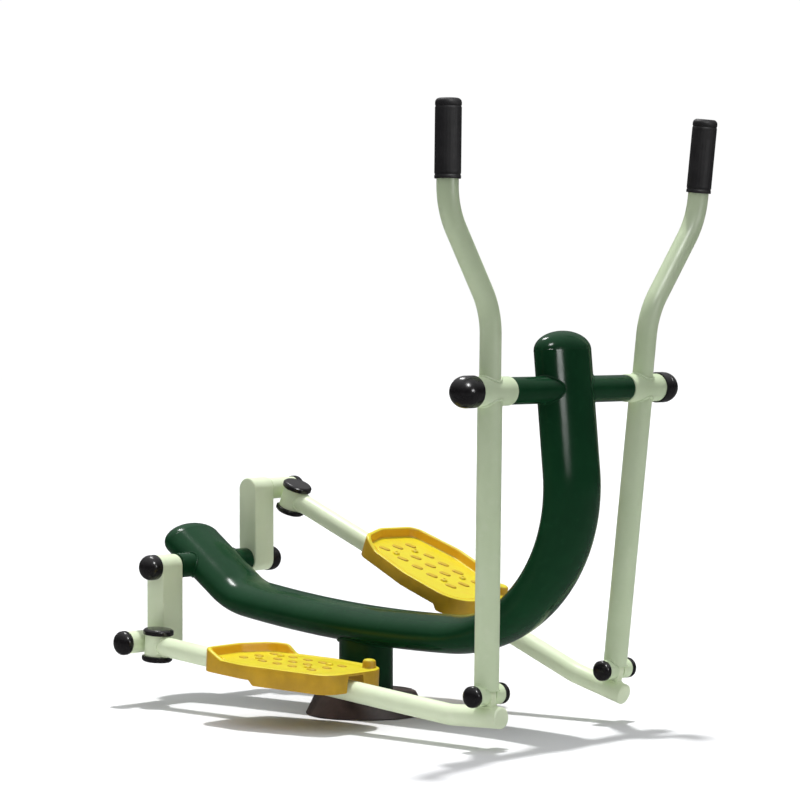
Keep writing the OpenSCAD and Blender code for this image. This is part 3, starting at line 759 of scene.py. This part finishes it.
# ---------------------------------------------------------------------------
# pedal bars
# ---------------------------------------------------------------------------
for s, nm in ((-1, "right"), (1, "left")):
    body = nm + "_bar_body"
    mb, my, mp, ms = bar_frame(s), bar_yawed(s), pivot_frame(s), stub_frame(s)
    part = Part()
    # the tube: straight, elbow, stub (in the yawed frame, x along, z up)
    pts, hs = planar((19.0, 0.0), 0.0, [("line", BAR_RUN - 19.0, 40), ("bend", ELBOW_R, -ELBOW, 14), ("line", STUB_RUN, 8)])
    fr = [(np.array([cosd(h + 90), 0, sind(h + 90)]), across) for h in hs]
    part.add(sweep([xz(p) for p in pts], fr, circle(72, BAR_R)), my)
    # swivel sleeve with its slot for the neck
    full = SWIVEL_H / 2
    low_wall = rounded([(SWIVEL_R, -full), (SWIVEL_R, -21.2), (15, -21.2), (15, -full)], [0.8, 0.0, 0.0, 0.4], closed=True)
    top_wall = rounded([(SWIVEL_R, 17.2), (SWIVEL_R, full), (15, full), (15, 17.2)], [0.0, 0.8, 0.4, 0.0], closed=True)
    mid_wall = np.array([(SWIVEL_R, -21.2), (SWIVEL_R, -8), (SWIVEL_R, 4), (SWIVEL_R, 17.2), (15, 17.2), (15, -21.2)], float)
    at = mv(SWIVEL_X, SWIVEL_Y, 0)
    for shell in (ring(low_wall, 96), ring(top_wall, 96), slotted(mid_wall, 9.4)):
        part.add(cleared(shell, at), mb)
    # lug up to the lower pivot
    lug = hull_outline([(0, 0, 19), (-14.5, -32, 4.5), (14.5, -32, 4.5)], 120)
    part.add(slab(*lug, -8, 8, 1.8), mp @ mv(0, ARM_Y, 0) @ rx(90))
    build(nm + "_bar_tube", part, body, CREAM_PAINTED_LIGHTER, [nm + "_bar"])
    w = Part()
    # bar to swivel sleeve
    w.add(bead(on_curve(lambda a: (math.sqrt((SWIVEL_R + 0.3) ** 2 - (21.4 * math.cos(a)) ** 2), 21.6 * math.cos(a), 21.6 * math.sin(a)), 130), r=2.6), my)
    # lug to bar, both sides and across the ends
    zz = -PIVOT_UP + math.sqrt(BAR_R**2 - 8.6**2)
    track = [(x, 8.6, zz) for x in np.linspace(-18, 18, 26)] + [(19.4, y, -PIVOT_UP + math.sqrt(BAR_R**2 - y * y)) for y in np.linspace(8, -8, 14)]
    track += [(x, -8.6, zz) for x in np.linspace(18, -18, 26)] + [(-19.4, y, -PIVOT_UP + math.sqrt(BAR_R**2 - y * y)) for y in np.linspace(-8, 8, 14)]
    w.add(bead(track, r=2.4, pitch=3.8), mp @ mv(0, ARM_Y, 0))
    build(nm + "_bar_welds", w, body, CREAM_PAINTED_LIGHTER)
    # end plug
    plug = lathe(rounded([(0, -8), (17.5, -8), (17.5, -0.2), (21.1, -0.2), (21.1, 2.2), (17.0, 4.0), (0, 4.0)], [0, 0.5, 0.3, 0.5, 1.2, 3.0, 0]), 72)
    build(nm + "_bar_end", Part().add(plug, ms @ mv(STUB_RUN, 0, 0) @ ry(90)), body, CREAM_PAINTED_LIGHTER, [nm + "_bar_plug"])
    # swivel caps, above and below
    caps = Part()
    prof = rounded([(0, 5.0), (14.6, 5.0), (14.6, 0.1), (33, 0.1), (33, 8.4), (29.0, 12.4), (0, 13.5)], [0, 0.4, 0.4, 1.2, 3.4, 5.0, 0], k=6)
    for up in (1, -1):
        caps.add(cleared(lathe(prof, 90), at @ mv(0, 0, up * full) @ np.diag([1.0, 1, up, 1])), mb)
    build(nm + "_swivel_discs", caps, body, BLACK, [nm + "_swivel_caps"])

# ---------------------------------------------------------------------------
# pedals
# ---------------------------------------------------------------------------
SOLE = [(38, 84, 34), (48, 10, 50), (52, -40, 38), (135, 38, 88), (190, -20, 86), (278, -44, 62), (304, 52, 40)]


def ease(x, a, b):
    t = min(1.0, max(0.0, (x - a) / (b - a)))
    return t * t * (3 - 2 * t)


def pedal_shell(side_y, rim_end, step_at, n=420):
    """The tray: plate, rolled lip round the heel and one side, deep skirt. x to the toe, y outwards, z up."""
    p, q = hull_outline(SOLE, n)
    rim, deep = [], []
    for x, y in p:
        along = 1 - ease(x, rim_end - 24, rim_end + 10)
        # on the open side the lip runs out over the heel in a long slope
        open_side = ease(x, 12, 84) if side_y * (y - 22) < 0 else 0.0
        h = RIM_H * along * (1 - open_side)
        rim.append(max(h, 1.2))
        k = 24 + 11 * ease(x, step_at - 4, step_at + 10)
        # notches in the skirt for the bar, at the heel and the toe
        cut = (1 - ease(abs(y), 22.5, 25.5)) if (x < 36 or x > 308) else 0.0
        deep.append(k * (1 - cut) + 1.2 * cut)
    rim, deep = np.array(rim), np.array(deep)
    top = PLATE + rim
    f = np.minimum(rim, 3.4)
    low = np.minimum(rim / RIM_H, 1.0)
    # lip gathers, ring by ring, how much of the painted highlight on the rim lip's inner face each point takes
    rings, lip = [], []

    def add(off, z, lip_light=0.0):
        rings.append(np.column_stack([p - q * np.asarray(off).reshape(-1, 1) if np.ndim(off) else p - q * off, z * np.ones(n)]))
        lip.extend([lip_light] * n)

    centre = p.mean(0)
    for share in (0.25, 0.5, 0.75):
        inner = p - q * 30
        rings.append(np.column_stack([centre + (inner - centre) * share, np.full(n, PLATE)]))
        lip.extend([0.0] * n)
    add(30, PLATE)
    add(20, PLATE)
    add(16.5, PLATE)
    add(14.6, PLATE + 0.10 * f)
    add(13.4, PLATE + 0.42 * f, 0.8)
    add(12.7, PLATE + 0.95 * f, 1.0)
    add(12.2, np.minimum(PLATE + f * 1.7, top - 0.2 * f), 1.0)
    add(11.5, PLATE + (top - PLATE) * 0.66 + 0.1 * f * (1 - low), 1.0)
    add(10.9, top - 0.95 * f, 1.0)
    add(10.3, top - 0.50 * f, 0.6)
    add(9.4, top - 0.22 * f, 0.1)
    add(8.0, top - 0.06 * f)
    add(6.2, top)
    add(4.4, top - 0.03 * f)
    add(2.9, top - 0.14 * f)
    add(1.7, top - 0.36 * f)
    add(0.7, top - 0.70 * f)
    add(0.2, top - 1.05 * f)
    add(0.0, top - 1.45 * f)
    add(0.0, (top - 1.45 * f) * 0.5 + (-deep + 2.4) * 0.5)
    add(0.0, -deep + 2.4)
    add(0.3, -deep + 1.0)
    add(1.1, -deep + 0.25)
    add(2.2, -deep)
    add(3.3, -deep + 0.4)
    add(4.0, -deep + 1.4)
    add(4.3, np.minimum(-deep + 4.0, -0.6))
    add(5.0, np.full(n, -0.2))
    add(8.0, 0.0)
    add(18, 0.0)
    add(30, 0.0)
    for share in (0.7, 0.35):
        inner = p - q * 30
        rings.append(np.column_stack([centre + (inner - centre) * share, np.zeros(n)]))
    return skin(rings), lip


def rib(x0, x1, y0, y1, z0, z1):
    return slab(*box_outline(x0, x1, y0, y1, min(1.6, (x1 - x0) / 2 - 0.05, (y1 - y0) / 2 - 0.05), 32), z0, z1, 0.7)


for s, nm, side_y, rim_end, step_at in ((-1, "right", -1, 84, 158), (1, "left", 1, 250, 280)):
    m = pedal_frame(s)
    shell, lip = pedal_shell(side_y, rim_end, step_at)
    part = Part().add(shell, m)
    for y in (-58, 54):
        part.add(rib(44, 269, y, y + 4, -18, 1), m)
    for x, y0, y1 in ((118, -92, -24), (205, -103, -24), (118, 24, 120), (205, 24, 110)):
        part.add(rib(x, x + 4, y0, y1, -14, 1), m)
    # toe lug
    lug = [(0, 0), (17.5, 0), (15.2, 1.0), (14.2, 2.8), (13.8, 6.0), (13.6, 12.5), (12.6, 16.4), (10.2, 18.4), (6.5, 19.2), (0, 19.4)]
    lx, ly = (318, 66) if side_y > 0 else (308, -72)
    part.add(lathe(lug, 64), m @ mv(lx, ly, PLATE - 0.6))
    tread = build(nm + "_tread", part, nm + "_bar_body", YELLOW, [nm + "_pedal"])
    # the painted-highlight mask for the rim lip goes on as a point attribute for the material to read
    mark = tread.data.attributes.new("lip", "FLOAT", "POINT")
    mark.data.foreach_set("value", np.array(lip + [0.0] * (len(tread.data.vertices) - len(lip)), dtype=np.float32))
    studs = Part()
    for i in range(5):
        for j in (-1, 0, 1):
            shape = hull_outline([(-5.5, 0, 7.6), (5.5, 0, 7.6)], 48)
            rings = [np.column_stack([shape[0] - shape[1] * o, np.full(48, z)]) for o, z in ((-0.8, -0.5), (-0.7, 0.03), (-0.1, 0.3), (0.3, 1.1), (0.8, 1.8), (1.6, 2.25), (2.8, 2.45))]
            studs.add(skin(rings), m @ mv((62, 118, 162, 206, 262)[i], 4 + 44 * j, PLATE) @ rz(20))
    build(nm + "_tread_studs", studs, nm + "_bar_body", STUD)

# ---------------------------------------------------------------------------
# handle arms
# ---------------------------------------------------------------------------
def coped(ro, ri, foot, up, n=96):
    """A tube from its foot up (or down) to the cross sleeve, its end cut to the sleeve's round."""
    rings = []
    for i in range(n):
        c, q = cosd(360 * i / n), sind(360 * i / n)
        zo, zi = (up * math.sqrt(27.0**2 - (r * c) ** 2) for r in (ro, ri))
        prof = [(ri + 0.6, foot), (ro - 0.8, foot), (ro, foot - up * 0.8)]
        prof += [(ro, foot + (zo - foot) * k / 12) for k in range(1, 13)] + [(ri, zi), (ri, foot - up * 0.6)]
        rings.append([(r * c, r * q, z) for r, z in prof])
    return skin(rings, loop=True)


S_R, S_TURN, S_START = 150.0, 34.0, 108.0
S_RUN = (FLARE - 2 * S_R * (1 - cosd(S_TURN))) / sind(S_TURN)
for s, nm in ((-1, "right"), (1, "left")):
    body = nm + "_arm_body"
    m = arm_frame(s)
    part = Part().add(collar(28.5, 24.05, 186, 294, 2.0), m @ ALONG_Y)
    part.add(coped(ARM_R, ARM_R - 3.5, -ARM_LEN + 9, -1), m @ mv(0, ARM_Y, 0))
    for a, b in ((-36, -8.7), (8.7, 36)):
        part.add(collar(20.5, 10.1, ARM_Y + a, ARM_Y + b, 1.8), m @ mv(0, 0, -ARM_LEN) @ ALONG_Y)
    build(nm + "_arm_tube", part, body, CREAM, [nm + "_arm"])

    # handle: straight, S-bend outwards, straight, in the arm's YZ plane (u = y, v = z)
    pts, hs = planar((ARM_Y, 18.0), 90.0, [("line", S_START - 18.0, 8), ("bend", S_R, S_TURN, 26), ("line", S_RUN, 12), ("bend", S_R, -S_TURN, 26)])
    rest = GRIP_TOP - 6 - pts[-1][1]
    tail = np.array([pts[-1] + np.array([0, rest * i / 10]) for i in range(1, 11)])
    pts, hs = np.concatenate([pts, tail]), np.concatenate([hs, [90.0] * 10])
    fr = [(np.array([0, cosd(h - 90), sind(h - 90)]), np.array([1.0, 0, 0])) for h in hs]
    path = [np.array([0, p[0], p[1]]) for p in pts]
    build(nm + "_handle_tube", Part().add(sweep(path, fr, circle(72, HANDLE_R)), m), body, CREAM, [nm + "_handle"])

    w = Part()
    for r, up in ((ARM_R, -1), (HANDLE_R, 1)):
        w.add(bead(on_curve(lambda a, r=r, up=up: ((r + 0.5) * math.cos(a), ARM_Y + (r + 0.5) * math.sin(a), up * (math.sqrt(28.5**2 - (r * math.cos(a)) ** 2) + 0.3)), 150), r=3.0), m)
    # lower sleeves, over the end of the tube
    for k in (-1, 1):
        arc = []
        for a in np.linspace(26, 154, 60):
            x, z = 20.9 * cosd(a), 20.9 * sind(a)
            arc.append((x, ARM_Y + k * math.sqrt(max(1.0, (ARM_R + 0.3) ** 2 - x * x)), z - ARM_LEN))
        w.add(bead(arc, r=2.3, closed=False, pitch=4.0), m)
    build(nm + "_arm_welds", w, body, CREAM)

    # caps
    build(nm + "_axle_dome", Part().add(cap_dome(31.5, 22, 54, flat=0.12), m @ mv(0, 289, 0) @ ALONG_Y), body, BLACK, [nm + "_arm_cap"])
    caps = Part()
    for k in (-1, 1):
        caps.add(cap_dome(21, 8, 18.5), m @ mv(0, ARM_Y, -ARM_LEN) @ side(k) @ mv(0, 36.1, 0) @ ALONG_Y)
    build(nm + "_pivot_domes", caps, body, BLACK, [nm + "_lower_caps"])

    # grip: moulded sleeve with end flange, ring grooves and fine flutes between them
    g = GRIP_R
    prof = [(0, 3.0), (20.6, 3.0), (20.6, 0.4), (21.4, 0), (g - 0.9, 0), (g - 0.2, 0.5), (g, 1.4), (g, 5.4), (g - 0.5, 6.4), (g - 1.0, 7.4), (g - 1.0, 8.4), (g - 0.5, 9.4), (g, 10.4)]
    for z in np.linspace(13, GRIP_LEN - 20, 40):
        prof.append((g, z))
    prof += [(g, GRIP_LEN - 17.6), (g - 0.5, GRIP_LEN - 16.8), (g - 1.0, GRIP_LEN - 16.0), (g - 1.0, GRIP_LEN - 15.0), (g - 0.5, GRIP_LEN - 14.2), (g, GRIP_LEN - 13.2)]
    for a in np.arange(0, 91, 10):
        prof.append((g - 9 + 9 * cosd(a), GRIP_LEN - 9 + 9 * sind(a)))
    prof += [(g * 0.45, GRIP_LEN - 0.1), (g * 0.42, GRIP_LEN - 0.7), (0, GRIP_LEN - 0.9)]
    v, f = lathe(prof, 144)
    v = np.asarray(v, float)
    for i in range(len(v)):
        if 11.5 < v[i, 2] < GRIP_LEN - 19 and math.hypot(v[i, 0], v[i, 1]) > g - 0.2:
            a = math.atan2(v[i, 1], v[i, 0])
            fade = min(1.0, (v[i, 2] - 11.5) / 5, (GRIP_LEN - 19 - v[i, 2]) / 5)
            k = 1 - 0.28 / g * fade * max(0.0, math.cos(a * 24)) ** 2
            v[i, :2] *= k
    build(nm + "_hand_grip", Part().add((v, f), m @ mv(0, ARM_Y + FLARE, GRIP_TOP - GRIP_LEN)), body, RUBBER, [nm + "_grip"])

# ---------------------------------------------------------------------------
# floor, light and camera
# ---------------------------------------------------------------------------
scene = bpy.context.scene


def look(o, target):
    from mathutils import Vector
    d = Vector(target) - o.location
    o.rotation_mode = "QUATERNION"
    o.rotation_quaternion = d.to_track_quat("-Z", "Y")


def plain(name, colour, emit=0.0):
    m = bpy.data.materials.new(name)
    m.use_nodes = True
    b = m.node_tree.nodes["Principled BSDF"]
    b.inputs["Base Color"].default_value = (*colour, 1)
    b.inputs["Roughness"].default_value = 0.9
    b.inputs["Specular IOR Level"].default_value = 0.0
    if emit:
        b.inputs["Emission Color"].default_value = (1, 1, 1, 1)
        b.inputs["Emission Strength"].default_value = emit
    return m


floor_white = plain("floor_white", (0.80, 0.80, 0.81))
floor_z = -0.0006
edge = [(math.cos(2 * math.pi * k / 96), math.sin(2 * math.pi * k / 96)) for k in range(96)]


def floor_piece(name, verts, faces):
    me = bpy.data.meshes.new(name)
    me.from_pydata(verts, [], faces)
    o = bpy.data.objects.new(name, me)
    scene.collection.objects.link(o)
    me.materials.append(floor_white)
    o.visible_glossy = False
    return o


# a sheet under the machine throws light back up; the floor round it doesn't, so what stands high is dimmer
near_r, far_r = 1.9, 45.0
floor_piece("floor_sheet", [(near_r * x, near_r * y, floor_z) for x, y in edge], [tuple(range(96))])
wide = [(near_r * x, near_r * y, floor_z) for x, y in edge] + [(far_r * x, far_r * y, floor_z) for x, y in edge]
floor_piece("floor", wide, [(k, 96 + k, 96 + (k + 1) % 96, (k + 1) % 96) for k in range(96)]).visible_diffuse = False

# a white surround that only the camera sees
bm = bmesh.new()
bmesh.ops.create_uvsphere(bm, u_segments=48, v_segments=24, radius=40.0)
bmesh.ops.reverse_faces(bm, faces=bm.faces)
surround_mesh = bpy.data.meshes.new("surround")
bm.to_mesh(surround_mesh)
bm.free()
surround = bpy.data.objects.new("surround", surround_mesh)
scene.collection.objects.link(surround)
surround_mesh.materials.append(plain("surround_white", (0, 0, 0), 1.02))
for flag in ("visible_diffuse", "visible_glossy", "visible_transmission", "visible_shadow", "visible_volume_scatter"):
    setattr(surround, flag, False)

world = bpy.data.worlds.new("soft")
scene.world = world
world.use_nodes = True
wt = world.node_tree
back = wt.nodes["Background"]
back.inputs[0].default_value = (0.98, 0.99, 1.0, 1)
# a soft dome: bright overhead, nearly dark at the horizon, dim below
wc = wt.nodes.new("ShaderNodeTexCoord")
ws = wt.nodes.new("ShaderNodeSeparateXYZ")
wm = wt.nodes.new("ShaderNodeMapRange")
for i, x in enumerate((-1.0, 1.0, 0.0, 1.0), 1):
    wm.inputs[i].default_value = x
wr = wt.nodes.new("ShaderNodeValToRGB")
ramp = wr.color_ramp.elements
ramp[0].position, ramp[1].position = 0.44, 1.0
ramp[0].color, ramp[1].color = (0.21, 0.21, 0.21, 1), (1.22, 1.22, 1.22, 1)
for at, v in ((0.495, 0.04), (0.58, 0.06), (0.80, 0.52)):
    ramp.new(at).color = (v, v, v, 1)
wt.links.new(wc.outputs["Generated"], ws.inputs[0])
wt.links.new(ws.outputs[2], wm.inputs[0])
wt.links.new(wm.outputs[0], wr.inputs[0])
wt.links.new(wr.outputs[0], back.inputs[1])


def area(name, at, target, size, power, colour=(1, 1, 1), tall=None):
    d = bpy.data.lights.new(name, "AREA")
    d.energy = power
    d.color = colour
    d.size = size
    if tall:
        d.shape = "RECTANGLE"
        d.size_y = tall
    o = bpy.data.objects.new(name, d)
    scene.collection.objects.link(o)
    o.location = at
    look(o, target)
    o.visible_camera = False
    return o


sun_data = bpy.data.lights.new("key", "SUN")
sun_data.energy = 2.65
sun_data.angle = math.radians(3.0)
sun = bpy.data.objects.new("key", sun_data)
scene.collection.objects.link(sun)
# from above, a little behind the machine as the camera sees it
sun.location = (-0.6, 0.9, 5.0)
look(sun, (0, 0, 0.0))
sun.visible_glossy = False
# these only give the streaks and spots on the gloss paint and the caps
strip = area("strip", (4.6, 0.26, 1.42), (0.5, 0, 0.62), 1.1, 60, tall=0.54)
high = area("high", (-1.38, 0.70, 4.33), (-0.4, 0.70, 0.36), 0.42, 120, tall=1.2)
spark = area("spark", (2.53, -0.90, 3.27), (0.3, 0, 0.6), 0.85, 130)
spark.data.shape = "DISK"
for o in (strip, high, spark):
    o.visible_diffuse = False

cam_data = bpy.data.cameras.new("camera")
cam_data.sensor_width = 36.0
cam_data.lens = 130.8
cam_data.clip_start, cam_data.clip_end = 0.1, 200
cam = bpy.data.objects.new("camera", cam_data)
scene.collection.objects.link(cam)
az, el, far = 42.0, 1.4, 6.0747
cam.location = (0.0968 + far * sind(az) * cosd(el), -far * cosd(az) * cosd(el), 0.6638 + far * sind(el))
look(cam, (0.0968, 0.0, 0.6638))
scene.camera = cam
scene.view_settings.view_transform = "Standard"
